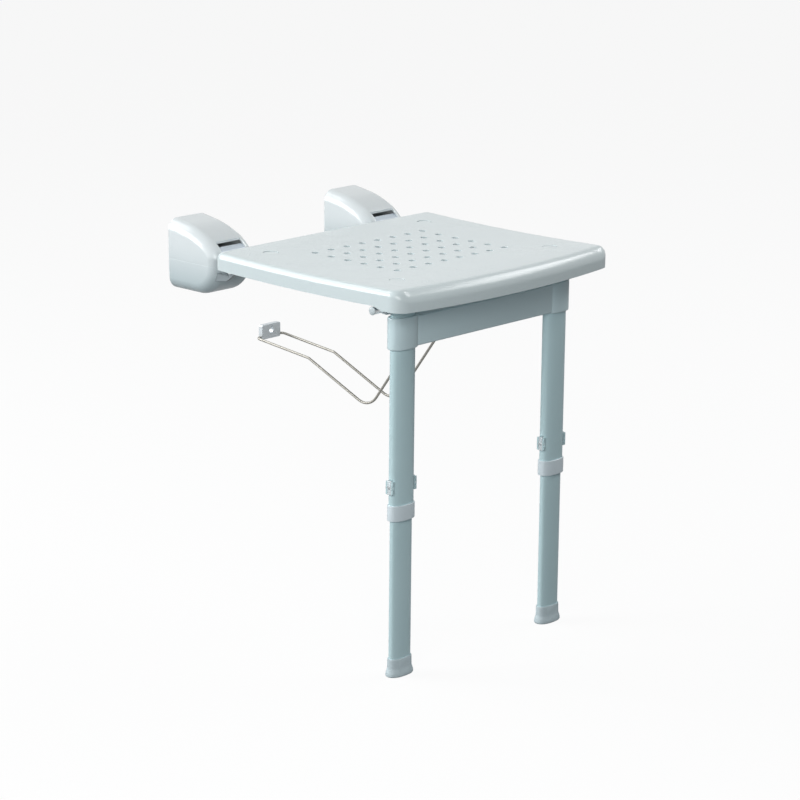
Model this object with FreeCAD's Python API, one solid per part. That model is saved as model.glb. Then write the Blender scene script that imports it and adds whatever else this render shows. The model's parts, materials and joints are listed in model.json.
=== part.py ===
"""Fold-down wall seat with two height-adjustable support legs and a wire link.

Millimetres, +Z up, +X to the right seen from the front. The wall is the plane y = 0 and the seat
stands out towards -Y. The origin is the middle of the four wall screws. A "drop" is always
measured downwards from the lowest point of the sitting surface.
"""
import FreeCAD, Part
import math
import os

V = FreeCAD.Vector

# Seat
seat_width = 416.0
seat_depth = 359.0
seat_behind_hinge = 11.0
support_inset = 58.0
seat_above_origin = 20.0
seat_dish = 3.8
front_bow = 20.0
rear_bow = 2.0
front_corner_radius = 22.0
rear_corner_radius = 12.5
rim_radius = 8.5
front_rim_radius = 18.0
top_plate = 5.0
seat_wall = 4.0
side_depth = 23.0
front_skirt_depth = 25.5
skirt_step_ahead = 5.0
skirt_step_slope = 15.0
rib_depth = 7.0
rib_thickness = 3.0
drain_hole = 10.0
drain_pitch = 30.0
drain_columns = 8
drain_rows = 6
drain_first_row = 89.5

# Screws through the seat and their caps
rear_screw_setback = 51.0
front_screw_setback = 78.0
screw_cap_diameter = 20.0
screw_cap_thickness = 1.6
screw_boss_diameter = 28.0
screw_boss_depth = 10.0
screw_head_diameter = 9.5
screw_head_height = 3.0
screw_shank = 5.0
screw_point = 4.0

# Wall brackets
bracket_width = 75.0
bracket_above = 50.0
bracket_below = 47.0
bracket_depth = 92.0
brow_share = 0.54
brow_height = 43.5
nose_length = 18.0
nose_back_height = 29.5
nose_front_height = 13.0
brow_bend = 120.0
nose_back_bend = 70.0
nose_front_bend = 20.0
chin_bend = 42.0
cover_wall = 2.5
cover_edge_radius = 16.0
recess_width = 44.0
recess_length = 16.0
recess_back_height = 18.7
recess_fall = 0.395
finger_slot = 3.5
insert_plate = 2.4
base_plate = 6.0
base_height = 88.0
wall_screw_hole = 7.0
wall_screw_spread = 60.0

# Seat hinge in front of each bracket
hinge_ahead_of_bracket = 28.0
hinge_drop = 22.0
hinge_pin = 8.0
hinge_pin_head = 12.0
knuckle_radius = 8.5
arm_inner = 24.5
bracket_arm_thickness = 6.0
seat_lug_thickness = 5.0
arm_top_drop = 33.5
arm_depth = 10.5
gusset_depth = 22.0
hinge_arm_plate = 5.0

# Leg axle under the front of the seat
axle_setback = 70.5
axle_drop = 29.5
axle_diameter = 10.0
axle_wall = 1.5
axle_block_gap = 1.0
axle_block_cheek = 7.0
axle_block_plate = 4.5
axle_cheek_radius = 9.0
axle_ring_width = 5.0

# Legs
leg_ahead_of_axle = 3.5
tube_width = 40.0
tube_depth = 20.0
tube_wall = 1.5
tube_above_axle = 9.0
plug_below_axle = 26.0
lower_tube_top_drop = 140.0
floor_drop = 528.0
foot_height = 24.5
foot_floor = 5.0
foot_flare = 3.9
ferrule_below_latch = 24.5
tube_in_ferrule = 18.0
ferrule_height = 21.0
ferrule_wall = 1.7

# Crossbar with its two collars
collar_drop = 43.0
collar_height = 43.0
collar_wall = 3.5
beam_setback = 2.0
beam_depth = 19.5
beam_wall = 3.0
beam_lower = 1.5
collar_screw = 3.8

# Height latches
latch_drop = 268.5
latch_height = 19.0
latch_width = 7.0
latch_proud = 3.2
latch_pin = 2.0
latch_pivot_out = 1.7
latch_spring = 2.8
lug_diameter = 4.0
lug_drop = 7.0
lug_bite = 1.0
lug_hole = 6.0
height_step = 20.0
holes_below = 1
holes_above = 5

# Wire link and its wall plate
wire_diameter = 3.6
wire_half_width = 25.0
wire_corner = 6.0
link_plate_width = 36.0
link_plate_height = 21.0
link_plate_thickness = 7.0
link_plate_drop = 166.5
link_bore_up = 3.4
keyhole_diameter = 8.0
keyhole_slot = 4.0
keyhole_below_top = 9.5
link_end_behind_axle = 9.5
link_end_below_axle = 39.5
first_bend = (106.5, 173.6, 15.0)
low_bend = (223.0, 223.8, 28.0)
high_bend = (300.5, 118.5, 15.0)

# Fits
running_gap = 0.05
slip_gap = 0.3
telescope_gap = 0.3

# Worked out from the sizes above
seat_top = seat_above_origin
half_seat = seat_width / 2
leg_x = half_seat - support_inset
bracket_x = leg_x
seat_screw_x = leg_x
nose_back = bracket_depth - nose_length
recess_back = bracket_depth - recess_length
hinge_y = -bracket_depth - hinge_ahead_of_bracket
hinge_z = seat_top - hinge_drop
rear_y = hinge_y + seat_behind_hinge
front_y = rear_y - seat_depth
mid_y = (rear_y + front_y) / 2
axle_y = front_y + axle_setback
axle_z = seat_top - axle_drop
leg_y = axle_y - leg_ahead_of_axle
arm_outer = arm_inner + bracket_arm_thickness
lug_inner = arm_outer + slip_gap
lug_outer = lug_inner + seat_lug_thickness
floor_z = seat_top - floor_drop
boss_bottom = seat_top - screw_boss_depth
collar_top = seat_top - collar_drop
collar_bottom = collar_top - collar_height
latch_z = seat_top - latch_drop
ferrule_top = latch_z - ferrule_below_latch
upper_tube_end = ferrule_top - tube_in_ferrule
lower_tube_top = seat_top - lower_tube_top_drop
lower_width = tube_width - 2 * (tube_wall + telescope_gap)
lower_depth = tube_depth - 2 * (tube_wall + telescope_gap)
beam_front = leg_y - tube_depth / 2 - collar_wall + beam_setback
link_plate_low = seat_top - link_plate_drop
link_y = -link_plate_thickness / 2
link_z = link_plate_low + link_bore_up
link_end_y = axle_y + link_end_behind_axle
link_end_z = axle_z - link_end_below_axle


def box(x0, x1, y0, y1, z0, z1):
    """A block between two corners."""
    low = V(min(x0, x1), min(y0, y1), min(z0, z1))
    return Part.makeBox(abs(x1 - x0), abs(y1 - y0), abs(z1 - z0), low)


def rod_x(radius, x0, x1, y, z):
    return Part.makeCylinder(radius, abs(x1 - x0), V(min(x0, x1), y, z), V(1, 0, 0))


def rod_y(radius, x, y0, y1, z):
    return Part.makeCylinder(radius, abs(y1 - y0), V(x, min(y0, y1), z), V(0, 1, 0))


def rod_z(radius, x, y, z0, z1):
    return Part.makeCylinder(radius, abs(z1 - z0), V(x, y, min(z0, z1)), V(0, 0, 1))


def obround_wire(x, y, z, width, depth):
    """A flat oval: two straight sides along X joined by two half circles."""
    radius = depth / 2
    reach = width / 2 - radius
    corners = [V(x - reach, y - radius, z), V(x + reach, y - radius, z),
               V(x + reach, y + radius, z), V(x - reach, y + radius, z)]
    return Part.Wire([
        Part.makeLine(corners[0], corners[1]),
        Part.Arc(corners[1], V(x + reach + radius, y, z), corners[2]).toShape(),
        Part.makeLine(corners[2], corners[3]),
        Part.Arc(corners[3], V(x - reach - radius, y, z), corners[0]).toShape()])


def obround(x, y, z0, z1, width, depth):
    """A flat-oval bar standing between two heights."""
    return Part.Face(obround_wire(x, y, z0, width, depth)).extrude(V(0, 0, z1 - z0))


def polygon_x(points, x0, x1):
    """A polygon given as (y, z) pairs, extruded along X."""
    corners = [V(x0, y, z) for y, z in points]
    return Part.Face(Part.makePolygon(corners + corners[:1])).extrude(V(x1 - x0, 0, 0))


def top_height(y):
    """Height of the dished sitting surface at a place y."""
    return seat_top + seat_dish * ((y - mid_y) / (seat_depth / 2)) ** 2


def dish_arc(x, y0, y1, lowered):
    """The arc of the sitting surface seen from the side, or one at a depth under it."""
    y_mid = (y0 + y1) / 2
    return Part.Arc(V(x, y0, top_height(y0) - lowered), V(x, y_mid, top_height(y_mid) - lowered),
                    V(x, y1, top_height(y1) - lowered)).toShape()


def upright_edges(solid):
    return [edge for edge in solid.Edges
            if abs(edge.Vertexes[0].Point.z - edge.Vertexes[-1].Point.z) > 0.5]


def seat_plan(inset):
    """Outline of the seat from above: bowed front and rear edges, straight sides, round corners."""
    half = half_seat - inset
    rear = rear_y - inset
    front = front_y + inset
    rear_left = V(-half, rear - rear_bow, 0)
    rear_right = V(half, rear - rear_bow, 0)
    front_left = V(-half, front + front_bow, 0)
    front_right = V(half, front + front_bow, 0)
    outline = Part.Wire([
        Part.Arc(rear_left, V(0, rear, 0), rear_right).toShape(),
        Part.makeLine(rear_right, front_right),
        Part.Arc(front_right, V(0, front, 0), front_left).toShape(),
        Part.makeLine(front_left, rear_left)])
    prism = Part.Face(outline).extrude(V(0, 0, 1))
    rear_corners = [e for e in upright_edges(prism) if e.CenterOfMass.y > mid_y]
    prism = prism.makeFillet(rear_corner_radius - inset, rear_corners)
    front_corners = [e for e in upright_edges(prism) if e.CenterOfMass.y < mid_y]
    prism = prism.makeFillet(front_corner_radius - inset, front_corners)
    return min(prism.Faces, key=lambda face: face.CenterOfMass.z)


def seat_block(inset, plate, side, skirt):
    """The seat's outer form, or its hollow: the plan between the dished top and the lower edge."""
    past = 30.0
    step = axle_y - skirt_step_ahead
    y_rear = rear_y + past
    y_front = front_y - past
    x = -half_seat
    corners = [V(x, y_front, top_height(y_front) - plate), V(x, y_front, seat_top - skirt),
               V(x, step - skirt_step_slope, seat_top - skirt), V(x, step, top_height(step) - side),
               V(x, y_rear, top_height(y_rear) - side), V(x, y_rear, top_height(y_rear) - plate)]
    edges = [dish_arc(x, y_rear, y_front, plate),
             Part.makeLine(corners[0], corners[1]),
             Part.makeLine(corners[1], corners[2]),
             Part.makeLine(corners[2], corners[3]),
             dish_arc(x, step, y_rear, side),
             Part.makeLine(corners[4], corners[5])]
    outline = Part.Wire(Part.sortEdges(edges)[0])
    slab = Part.Face(outline).extrude(V(seat_width, 0, 0))
    plan = seat_plan(inset)
    plan.translate(V(0, 0, seat_top - skirt - past))
    return slab.common(plan.extrude(V(0, 0, skirt + 2 * past)))


def rounded_rim(block, inset):
    """Rounds the upper edge of the seat's form or hollow: full at the front, tighter elsewhere."""
    middle = Part.Vertex(V(0, mid_y, seat_top))
    top = min(block.Faces, key=lambda face: face.distToShape(middle)[0])
    document = FreeCAD.newDocument("rim")
    base = document.addObject("Part::Feature", "base")
    base.Shape = block
    fillet = document.addObject("Part::Fillet", "fillet")
    fillet.Base = base
    front_line = front_y + inset + front_bow + 2
    radii = []
    for part_of_rim in top.OuterWire.OrderedEdges:
        ends = [part_of_rim.valueAt(part_of_rim.FirstParameter), part_of_rim.valueAt(part_of_rim.LastParameter)]
        if part_of_rim.Orientation == "Reversed":
            ends.reverse()
        sizes = [(front_rim_radius if p.y < front_line else rim_radius) - inset for p in ends]
        for number, edge in enumerate(base.Shape.Edges, 1):
            if edge.CenterOfMass.distanceToPoint(part_of_rim.CenterOfMass) < 0.01:
                radii.append((number, sizes[0], sizes[1]))
    fillet.Edges = sorted(radii)
    document.recompute()
    rounded = fillet.Shape.copy()
    FreeCAD.closeDocument(document.Name)
    return rounded.Solids[0]


def screw_places():
    """The four places where a screw comes down through the seat."""
    return [(x, y) for x in (-seat_screw_x, seat_screw_x)
            for y in (rear_y - rear_screw_setback, front_y + front_screw_setback)]


def drain_places():
    for column in range(drain_columns):
        for row in range(drain_rows):
            yield (drain_pitch * (column - (drain_columns - 1) / 2),
                   rear_y - drain_first_row - drain_pitch * row)


def seat_ribs(hollow):
    """Stiffening ribs between the drain holes, inside the hollow of the seat."""
    low = seat_top - top_plate - rib_depth
    high = seat_top + seat_dish
    half = rib_thickness / 2
    ribs = []
    for places in (-4, -2, 0, 2, 4):
        x = places * drain_pitch
        ribs.append(box(x - half, x + half, front_y, rear_y, low, high))
    first = rear_y - drain_first_row + drain_pitch / 2
    for row in range(0, drain_rows + 1, 2):
        y = first - drain_pitch * row
        ribs.append(box(-half_seat, half_seat, y - half, y + half, low, high))
    grid = ribs[0].multiFuse(ribs[1:]).common(hollow)
    for side in (-1, 1):
        grid = grid.cut(box(side * (leg_x - tube_width), side * (leg_x + tube_width),
                            rear_y, front_y, low - 1, high))
    return grid


def arm_notch(side):
    """Relief in the rear wall where the bracket arms and the hinge lugs pass through it."""
    half = lug_outer + 2.5
    return box(side * bracket_x - half, side * bracket_x + half, rear_y + 5,
               hinge_y - knuckle_radius, hinge_z - 30, hinge_z + knuckle_radius + 1.5)


def cap_floor(y):
    """Height of the floor under a screw cap."""
    return top_height(y) - screw_cap_thickness - 0.4


def seat_shell():
    """Moulded seat: dished perforated top, rolled rim, side walls and a deeper front skirt."""
    block = rounded_rim(seat_block(0, 0, side_depth, front_skirt_depth), 0)
    hollow = rounded_rim(seat_block(seat_wall, top_plate, side_depth + 40, front_skirt_depth + 40), seat_wall)
    shell = block.cut(hollow).fuse(seat_ribs(hollow))
    bosses = [rod_z(screw_boss_diameter / 2, x, y, boss_bottom, seat_top) for x, y in screw_places()]
    shell = shell.multiFuse(bosses)
    cuts = [arm_notch(-1), arm_notch(1)]
    for x, y in screw_places():
        cap_seat = cap_floor(y)
        cuts.append(rod_z(screw_cap_diameter / 2 + slip_gap, x, y, cap_seat, top_height(y) + 5))
        cuts.append(rod_z(screw_head_diameter / 2 + slip_gap, x, y,
                          cap_seat - screw_head_height - slip_gap, cap_seat))
        cuts.append(rod_z(screw_shank / 2 + running_gap, x, y, boss_bottom - 1, cap_seat))
    for x, y in drain_places():
        cuts.append(rod_z(drain_hole / 2, x, y, seat_top - top_plate - 2, seat_top + 5))
    return shell.cut(Part.Compound(cuts))


def screw_caps():
    """Four flush round caps over the screw heads."""
    discs = []
    for x, y in screw_places():
        low = cap_floor(y) + running_gap
        top = low + screw_cap_thickness
        disc = rod_z(screw_cap_diameter / 2, x, y, low, top)
        rim = [e for e in disc.Edges if abs(e.CenterOfMass.z - top) < 0.01]
        discs.append(disc.makeFillet(0.4, rim))
    return Part.Compound(discs)


def seat_screws():
    """Four pan-head screws that hold the hinge arms and the axle blocks under the seat."""
    screws = []
    for x, y in screw_places():
        head_top = cap_floor(y) - slip_gap
        head = rod_z(screw_head_diameter / 2, x, y, head_top - screw_head_height + slip_gap, head_top)
        shank = rod_z(screw_shank / 2, x, y, boss_bottom - screw_point, head_top - 1)
        socket = rod_z(screw_shank / 3, x, y, head_top - 1.6, head_top + 1)
        screws.append(head.fuse(shank).cut(socket))
    return Part.Compound(screws)


def hinge_arm(side):
    """Arm screwed under the rear of the seat: a plate and the two lugs that turn on the pins."""
    x = side * bracket_x
    top = boss_bottom
    y_back = hinge_y - knuckle_radius - 2
    y_front = rear_y - rear_screw_setback - screw_boss_diameter / 2
    plate_low = top - hinge_arm_plate
    arm = box(x - lug_outer, x + lug_outer, y_front, y_back, plate_low, top)
    for end in (-1, 1):
        x0, x1 = x + end * lug_inner, x + end * lug_outer
        lug = polygon_x([(y_front + 6, plate_low + 1), (y_back, top), (hinge_y, hinge_z + knuckle_radius - 0.5),
                         (hinge_y, hinge_z - knuckle_radius + 0.5), (y_back - 6, plate_low - 6)], x0, x1)
        arm = arm.fuse(lug).fuse(rod_x(knuckle_radius, x0, x1, hinge_y, hinge_z))
    bore = rod_x(hinge_pin / 2 + running_gap, x - bracket_width, x + bracket_width, hinge_y, hinge_z)
    thread = rod_z(screw_shank / 2 + running_gap, x, rear_y - rear_screw_setback,
                   top - screw_point - slip_gap, top + 1)
    return arm.cut(bore).cut(thread).removeSplitter()


def hinge_pins():
    """Four short headed pins, each through one bracket arm and the seat lug beside it."""
    pins = []
    for side in (-1, 1):
        for end in (-1, 1):
            x = side * bracket_x
            tip = x + end * (arm_inner - 0.5)
            neck = x + end * (lug_outer + slip_gap)
            shank = rod_x(hinge_pin / 2, tip, neck + end * 0.5, hinge_y, hinge_z)
            head = rod_x(hinge_pin_head / 2, neck, neck + end * 1.6, hinge_y, hinge_z)
            pins.append(shank.fuse(head))
    return Part.Compound(pins)


def axle_block(side):
    """Hanger screwed under the front of the seat: two cheeks that carry the leg axle."""
    x = side * leg_x
    inner = tube_width / 2 + axle_block_gap
    outer = inner + axle_block_cheek
    y_screw = front_y + front_screw_setback
    top = boss_bottom
    root = axle_cheek_radius + 4
    block = box(x - outer, x + outer, axle_y - root - 3, y_screw + screw_boss_diameter / 2,
                top - axle_block_plate, top)
    for end in (-1, 1):
        x0, x1 = x + end * inner, x + end * outer
        cheek = polygon_x([(axle_y - root, top - axle_block_plate + 1), (axle_y + root, top - axle_block_plate + 1),
                           (axle_y + axle_cheek_radius, axle_z), (axle_y - axle_cheek_radius, axle_z)], x0, x1)
        block = block.fuse(cheek).fuse(rod_x(axle_cheek_radius, x0, x1, axle_y, axle_z))
    bore = rod_x(axle_diameter / 2 + running_gap, x - outer - 1, x + outer + 1, axle_y, axle_z)
    thread = rod_z(screw_shank / 2 + running_gap, side * seat_screw_x, y_screw,
                   top - screw_point - slip_gap, top + 1)
    return block.cut(bore).cut(thread).removeSplitter()


def leg_axle():
    """Long tube under the front of the seat, on which the leg frame swings."""
    half = half_seat - seat_wall - 0.7
    tube = rod_x(axle_diameter / 2, -half, half, axle_y, axle_z)
    return tube.cut(rod_x(axle_diameter / 2 - axle_wall, -half - 1, half + 1, axle_y, axle_z))


def axle_rings():
    """Push-on rings that keep the axle from sliding out of its cheeks."""
    rings = []
    start = leg_x + tube_width / 2 + axle_block_gap + axle_block_cheek + slip_gap
    for side in (-1, 1):
        ring = rod_x(axle_diameter / 2 + 2.5, side * start, side * (start + axle_ring_width), axle_y, axle_z)
        bore = rod_x(axle_diameter / 2 + running_gap, side * (start - 1),
                     side * (start + axle_ring_width + 1), axle_y, axle_z)
        rings.append(ring.cut(bore))
    return Part.Compound(rings)


def crossing(a, b, c, d):
    """Where the line through a and b meets the line through c and d, all (y, z) pairs."""
    u = (b[0] - a[0], b[1] - a[1])
    w = (d[0] - c[0], d[1] - c[1])
    share = ((c[0] - a[0]) * w[1] - (c[1] - a[1]) * w[0]) / (u[0] * w[1] - u[1] * w[0])
    return (a[0] + share * u[0], a[1] + share * u[1])


def cover_corners(inset):
    """Side outline of a bracket cover, every face except the open back moved inwards by inset."""
    outer = [(0.0, bracket_above), (-brow_share * nose_back, brow_height), (-nose_back, nose_back_height),
             (-bracket_depth, nose_front_height), (-bracket_depth, -bracket_below), (0.0, -bracket_below)]
    moved = []
    for a, b in zip(outer, outer[1:]):
        length = math.hypot(b[0] - a[0], b[1] - a[1])
        inward = (-(b[1] - a[1]) / length * inset, (b[0] - a[0]) / length * inset)
        moved.append(((a[0] + inward[0], a[1] + inward[1]), (b[0] + inward[0], b[1] + inward[1])))
    wall = ((0.0, 0.0), (0.0, 1.0))
    lines = [wall] + moved + [wall]
    return [crossing(*first, *second) for first, second in zip(lines, lines[1:])]


def cover_form(inset):
    """Rounded solid of a bracket cover, centred on x = 0."""
    half = bracket_width / 2 - inset
    corners = cover_corners(inset)
    form = polygon_x(corners, -half, half)
    bends = (brow_bend, nose_back_bend, nose_front_bend, chin_bend)
    for (y, z), radius in zip(corners[1:5], bends):
        bend = [e for e in form.Edges if e.CenterOfMass.distanceToPoint(V(0, y, z)) < 0.01]
        form = form.makeFillet(radius - inset, bend)
    rims = [e for e in form.Edges
            if abs(abs(e.CenterOfMass.x) - half) < 0.01 and abs(e.CenterOfMass.y) > 0.01]
    return form.makeFillet(cover_edge_radius - inset, rims)


def recess_floor(y, raised):
    """Height of the recess floor on a cover's nose at a place y."""
    return recess_back_height + (y + recess_back) * recess_fall + raised


def bracket_cover(side):
    """Hollow clipped-on cover, open at the wall, with slots for the arms and a recess on its nose."""
    cover = cover_form(0).cut(cover_form(cover_wall))
    arm_top = seat_top - arm_top_drop
    for end in (-1, 1):
        cover = cover.cut(box(end * (arm_inner - slip_gap), end * (arm_outer + slip_gap),
                              -bracket_depth - 5, -bracket_depth + 20,
                              arm_top + slip_gap, arm_top - arm_depth - slip_gap))
    beyond = -bracket_depth - 3
    pocket = polygon_x([(-recess_back, bracket_above), (-recess_back, recess_floor(-recess_back, 0)),
                        (beyond, recess_floor(beyond, 0)), (beyond, bracket_above)],
                       -recess_width / 2, recess_width / 2)
    cover = cover.cut(pocket)
    cover.translate(V(side * bracket_x, 0, 0))
    return cover


def bracket_insert(side):
    """Trim plate in the recess of a cover; a finger slot stays open behind it."""
    half = recess_width / 2 - slip_gap / 2
    back = -recess_back - finger_slot
    front = -bracket_depth + 1.3
    plate = polygon_x([(back, recess_floor(back, slip_gap / 3)), (front, recess_floor(front, slip_gap / 3)),
                       (front + 0.6, recess_floor(front, 1.6)), (front + 1.6, recess_floor(front + 1.6, insert_plate)),
                       (back, recess_floor(back, insert_plate))], -half, half)
    plate.translate(V(side * bracket_x, 0, 0))
    return plate


def bracket_base(side):
    """Wall plate with two screw holes and the pair of arms that reach out to the hinge pins."""
    x = side * bracket_x
    half = bracket_width / 2 - cover_wall - slip_gap
    base = box(x - half, x + half, -base_plate, 0, -base_height / 2, base_height / 2)
    corners = [e for e in base.Edges if abs(e.Vertexes[0].Point.y - e.Vertexes[-1].Point.y) > 1]
    base = base.makeFillet(cover_edge_radius - cover_wall, corners)
    top = seat_top - arm_top_drop
    low = top - arm_depth
    inside = -bracket_depth + cover_wall + 4
    for end in (-1, 1):
        x0, x1 = x + end * arm_inner, x + end * arm_outer
        arm = polygon_x([(-base_plate + 0.5, top + gusset_depth), (-base_plate - gusset_depth, top),
                         (hinge_y + knuckle_radius, top), (hinge_y + knuckle_radius, hinge_z),
                         (hinge_y, hinge_z), (hinge_y, hinge_z - knuckle_radius),
                         (hinge_y + 14, low + 3), (inside, low), (-base_plate - 10, low),
                         (-base_plate + 0.5, low - 8)], x0, x1)
        base = base.fuse(arm).fuse(rod_x(knuckle_radius, x0, x1, hinge_y, hinge_z))
    web = box(x - arm_inner - 1, x + arm_inner + 1, -base_plate + 0.5, -bracket_depth + 22, top - 4, top)
    base = base.fuse(web)
    base = base.cut(rod_x(hinge_pin / 2 + running_gap, x - half, x + half, hinge_y, hinge_z))
    for end in (-1, 1):
        base = base.cut(rod_y(wall_screw_hole / 2, x, -base_plate - 1, 1, end * wall_screw_spread / 2))
    return base.removeSplitter()


def link_plate():
    """Small wall plate that carries the wire link, with a keyhole for its screw."""
    high = link_plate_low + link_plate_height
    plate = box(-link_plate_width / 2, link_plate_width / 2, -link_plate_thickness, 0, link_plate_low, high)
    corners = [e for e in plate.Edges if abs(e.Vertexes[0].Point.y - e.Vertexes[-1].Point.y) > 1]
    plate = plate.makeFillet(2.5, corners)
    front = [e for e in plate.Edges if abs(e.CenterOfMass.y + link_plate_thickness) < 0.01]
    plate = plate.makeFillet(0.8, front)
    bore = rod_x(wire_diameter / 2 + running_gap, -link_plate_width, link_plate_width, link_y, link_z)
    eye = high - keyhole_below_top
    hole = rod_y(keyhole_diameter / 2, 0, -link_plate_thickness - 1, 1, eye)
    slot = box(-keyhole_slot / 2, keyhole_slot / 2, -link_plate_thickness - 1, 1,
               eye, eye + keyhole_diameter / 2 + 3)
    return plate.cut(bore).cut(hole).cut(slot)


def rounded_path(points, radii):
    """Straight runs through the points, each inner corner rounded by a tangent arc."""
    edges = []
    start = points[0]
    for corner, after, radius in zip(points[1:-1], points[2:], radii):
        into = (corner - start).normalize()
        away = (after - corner).normalize()
        turn = into.getAngle(away)
        reach = radius * math.tan(turn / 2)
        first = corner - into * reach
        last = corner + away * reach
        inward = (away - into).normalize()
        middle = corner + inward * (radius / math.cos(turn / 2) - radius)
        edges.append(Part.makeLine(start, first))
        edges.append(Part.Arc(first, middle, last).toShape())
        start = last
    edges.append(Part.makeLine(start, points[-1]))
    return Part.Wire(edges)


def wire_link():
    """One bent spring wire: two strands, a cross run behind the crossbar, its ends in the wall plate."""
    bends = (first_bend, low_bend, high_bend)
    side = [V(wire_half_width, link_y, link_z)]
    side += [V(wire_half_width, -out, seat_top - drop) for out, drop, radius in bends]
    side.append(V(wire_half_width, link_end_y, link_end_z))
    other = [V(-p.x, p.y, p.z) for p in reversed(side)]
    points = [V(0.5, link_y, link_z)] + side + other + [V(-0.5, link_y, link_z)]
    bend_radii = [radius for out, drop, radius in bends]
    radii = [wire_corner] + bend_radii + [wire_corner] * 2 + bend_radii[::-1] + [wire_corner]
    path = rounded_path(points, radii)
    ring = Part.Wire(Part.makeCircle(wire_diameter / 2, points[0], V(1, 0, 0)))
    wire = path.makePipeShell([ring], True, False)
    area = math.pi * wire_diameter ** 2 / 4
    print("wire volume", round(wire.Volume, 1), "section times length", round(area * path.Length, 1))
    return wire


def upper_tube(side):
    """Flat-oval outer leg tube, bored for the axle and windowed for the two latches."""
    x = side * leg_x
    top = axle_z + tube_above_axle
    tube = obround(x, leg_y, upper_tube_end, top, tube_width, tube_depth)
    tube = tube.cut(obround(x, leg_y, upper_tube_end - 1, top + 1,
                            tube_width - 2 * tube_wall, tube_depth - 2 * tube_wall))
    tube = tube.cut(rod_x(axle_diameter / 2 + running_gap, x - tube_width, x + tube_width, axle_y, axle_z))
    half = latch_width / 2 + 0.5
    for end in (-1, 1):
        tube = tube.cut(box(x + end * lower_width / 2, x + end * tube_width, leg_y - half, leg_y + half,
                            latch_z - latch_height / 2 - 1, latch_z + latch_height / 2 + 1))
    return tube


def pivot_plug(side):
    """Plastic plug in the top of a leg, the bearing that turns on the axle."""
    x = side * leg_x
    top = axle_z + tube_above_axle - 0.5
    fit = 2 * (tube_wall + running_gap)
    plug = obround(x, leg_y, axle_z - plug_below_axle, top, tube_width - fit, tube_depth - fit)
    return plug.cut(rod_x(axle_diameter / 2 + running_gap, x - tube_width, x + tube_width, axle_y, axle_z))


def leg_crossbar():
    """One moulding: a collar round each leg and the channel beam between them, open to the rear."""
    rear = beam_front + beam_depth
    top = collar_top - beam_lower
    low = collar_bottom + beam_lower
    beam = box(-leg_x, leg_x, beam_front, rear, low, top)
    front_edges = [e for e in beam.Edges if abs(e.CenterOfMass.y - beam_front) < 0.01
                   and abs(e.CenterOfMass.x) < 1]
    beam = beam.makeFillet(2.5, front_edges)
    beam = beam.cut(box(-leg_x, leg_x, beam_front + beam_wall, rear + 1, low + beam_wall, top - beam_wall))
    for share in (-0.6, -0.35, 0.35, 0.6):
        x = share * leg_x
        beam = beam.fuse(box(x - beam_wall / 2, x + beam_wall / 2, beam_front + 1, rear, low + 1, top - 1))
    for side in (-1, 1):
        collar = obround(side * leg_x, leg_y, collar_bottom, collar_top, tube_width + 2 * collar_wall,
                         tube_depth + 2 * collar_wall)
        rims = [e for e in collar.Edges if abs(e.CenterOfMass.z - collar_top) < 0.01
                or abs(e.CenterOfMass.z - collar_bottom) < 0.01]
        beam = beam.fuse(collar.makeFillet(2.2, rims))
    for side in (-1, 1):
        x = side * leg_x
        beam = beam.cut(obround(x, leg_y, collar_bottom - 1, collar_top + 1,
                                tube_width + 2 * running_gap, tube_depth + 2 * running_gap))
        beam = beam.cut(rod_y(collar_screw / 2 + running_gap, x, leg_y + tube_depth / 2 - 1,
                              leg_y + tube_depth, (collar_top + collar_bottom) / 2))
    return beam.removeSplitter()


def collar_screws():
    """A short screw at the back of each collar that stops it sliding on its tube."""
    screws = []
    back = leg_y + tube_depth / 2 + collar_wall
    z = (collar_top + collar_bottom) / 2
    for side in (-1, 1):
        x = side * leg_x
        shank = rod_y(collar_screw / 2, x, leg_y + tube_depth / 2 + running_gap, back + 0.5, z)
        head = rod_y(collar_screw * 0.95, x, back + running_gap, back + 2.2, z)
        recess = rod_y(collar_screw / 3, x, back + 1.0, back + 3, z)
        screws.append(shank.fuse(head).cut(recess))
    return Part.Compound(screws)


def link_saddle():
    """Hook in the middle of the crossbar: the wire's cross run rests under and behind it."""
    front = beam_front + beam_wall
    gap = wire_diameter / 2 + slip_gap
    half = wire_half_width - wire_corner - 3
    return polygon_x([(front, link_end_z + gap + 4), (link_end_y + 4, link_end_z + gap + 4),
                      (link_end_y + 4, link_end_z + gap), (link_end_y - gap, link_end_z + gap),
                      (link_end_y - gap, link_end_z - 6), (front, link_end_z - 6)], -half, half)


def height_ferrule(side):
    """Collar at the lower end of the outer tube that guides the inner one."""
    x = side * leg_x
    low = ferrule_top - ferrule_height
    ring = obround(x, leg_y, low, ferrule_top, tube_width + 2 * ferrule_wall, tube_depth + 2 * ferrule_wall)
    rims = [e for e in ring.Edges if abs(e.CenterOfMass.z - ferrule_top) < 0.01
            or abs(e.CenterOfMass.z - low) < 0.01]
    ring = ring.makeFillet(0.8, rims)
    pocket = obround(x, leg_y, upper_tube_end - running_gap, ferrule_top + 1,
                     tube_width + 2 * running_gap, tube_depth + 2 * running_gap)
    throat = obround(x, leg_y, low - 1, ferrule_top, lower_width + telescope_gap, lower_depth + telescope_gap)
    return ring.cut(pocket).cut(throat)


def lower_tube(side):
    """Inner leg tube with the column of latch holes that sets the seat's height."""
    x = side * leg_x
    end = floor_z + foot_floor
    tube = obround(x, leg_y, end, lower_tube_top, lower_width, lower_depth)
    tube = tube.cut(obround(x, leg_y, end - 1, lower_tube_top + 1, lower_width - 2 * tube_wall,
                            lower_depth - 2 * tube_wall))
    for step in range(-holes_below, holes_above + 1):
        z = latch_z - lug_drop + step * height_step
        tube = tube.cut(rod_x(lug_hole / 2, x - tube_width, x + tube_width, leg_y, z))
    return tube


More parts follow.
